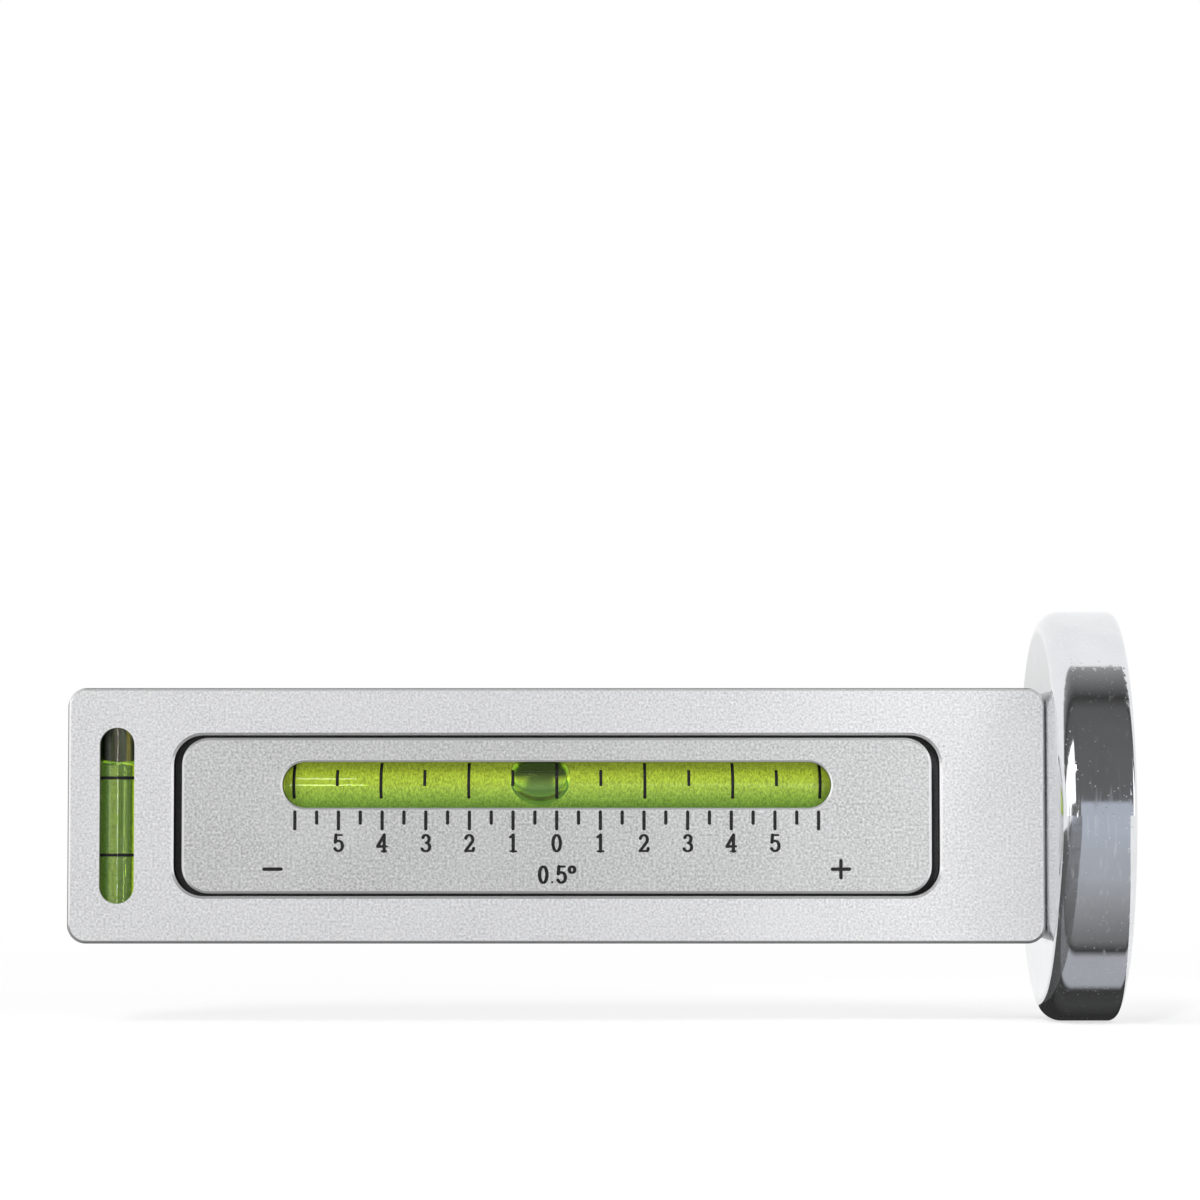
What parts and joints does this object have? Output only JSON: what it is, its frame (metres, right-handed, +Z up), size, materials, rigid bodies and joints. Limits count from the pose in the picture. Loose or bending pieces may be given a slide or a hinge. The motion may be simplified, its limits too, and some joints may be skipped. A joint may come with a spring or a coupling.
{
  "type": "camber caster gauge",
  "caption": "Magnetic wheel alignment gauge: an aluminium bar with bent spirit vials for camber and adjustable caster, cross vials at its end, and a pot magnet that grips the hub.",
  "frame": {"origin": "centre of the magnet's contact face", "axes": "+X points from the bar out of the magnet's face, +Z is up across the bar's height, and -Y is the camber side"},
  "size_m": [0.124, 0.049, 0.049],
  "materials": {
    "bar": "bead-blasted, clear anodised",
    "plate": "fine-grained satin",
    "vial": "clear acrylic",
    "spirit": "yellow-green spirit",
    "bubble": "air",
    "plug": "cemented acrylic",
    "seal": "grey moulded plastic",
    "steel": "zinc plated",
    "chrome": "bright plated",
    "ferrite": "ground ferrite",
    "resin": "cast resin",
    "knob": "black moulded plastic",
    "brass": "turned"
  },
  "bodies": {
    "gauge": {"bar": "bar", "camber_plate": "plate", "camber_plate_screws": "steel", "pivot_pins": "steel", "magnet_cup": "chrome", "magnet_core": "chrome", "ring_magnet": "ferrite", "magnet_filler": "resin", "magnet_stud": "steel", "return_spring": "steel", "camber_vial": "vial", "camber_vial_plug": "plug", "camber_spirit": "spirit", "front_cross_vial": "vial", "front_cross_vial_plug": "plug", "front_cross_spirit": "spirit", "front_cross_seal": "seal", "rear_cross_vial": "vial", "rear_cross_vial_plug": "plug", "rear_cross_spirit": "spirit", "rear_cross_seal": "seal"},
    "caster_carrier": {"caster_plate": "plate", "caster_vial": "vial", "caster_vial_plug": "plug", "caster_spirit": "spirit"},
    "washer": {"thrust_washer": "brass"},
    "adjuster": {"adjusting_knob": "knob", "adjusting_screw": "steel"},
    "camber_air": {"camber_bubble": "bubble"},
    "caster_air": {"caster_bubble": "bubble"},
    "front_cross_air": {"front_cross_bubble": "bubble"},
    "rear_cross_air": {"rear_cross_bubble": "bubble"}
  },
  "joints": [
    {"name": "camber_bubble_travel", "type": "hinge", "parent": "gauge", "child": "camber_air", "pos_m": [-0.0665, 0.2885, 0], "axis": [0, 0, 1], "range_deg": [-5.2, 5.9], "stiffness_Nm_per_rad": 0.0002, "deforming": ["camber_spirit"]},
    {"name": "front_cross_bubble_travel", "type": "slide", "parent": "gauge", "child": "front_cross_air", "axis": [0, 0, 1], "range_m": [-0.0165, 0], "stiffness_N_per_m": 1, "springref_m": 0.003, "deforming": ["front_cross_spirit"]},
    {"name": "rear_cross_bubble_travel", "type": "slide", "parent": "gauge", "child": "rear_cross_air", "axis": [0, 0, 1], "range_m": [-0.0165, 0], "stiffness_N_per_m": 1, "springref_m": 0.003, "deforming": ["rear_cross_spirit"]},
    {"name": "caster_tilt", "type": "hinge", "parent": "gauge", "child": "caster_carrier", "pos_m": [-0.0665, 0.00845, 0], "axis": [0, 0, 1], "range_deg": [-3.5, 3.5]},
    {"name": "caster_bubble_travel", "type": "hinge", "parent": "caster_carrier", "child": "caster_air", "pos_m": [-0.0665, -0.2885, 0], "axis": [0, 0, -1], "range_deg": [-5.3, 5.8], "stiffness_Nm_per_rad": 0.0002, "deforming": ["caster_spirit"]},
    {"name": "adjuster_feed", "type": "slide", "parent": "gauge", "child": "washer", "axis": [0, 1, 0], "range_m": [-0.0024, 0.0024], "deforming": ["return_spring"]},
    {"name": "knob_spin", "type": "hinge", "parent": "washer", "child": "adjuster", "pos_m": [-0.106, 0, 0], "axis": [0, 1, 0], "range_deg": [-1735, 1735]}
  ],
  "couplings": [
    {"joint": "knob_spin", "follows": "adjuster_feed", "rad_per_m": 12566},
    {"joint": "caster_tilt", "follows": "adjuster_feed", "rad_per_m": -25.316}
  ]
}
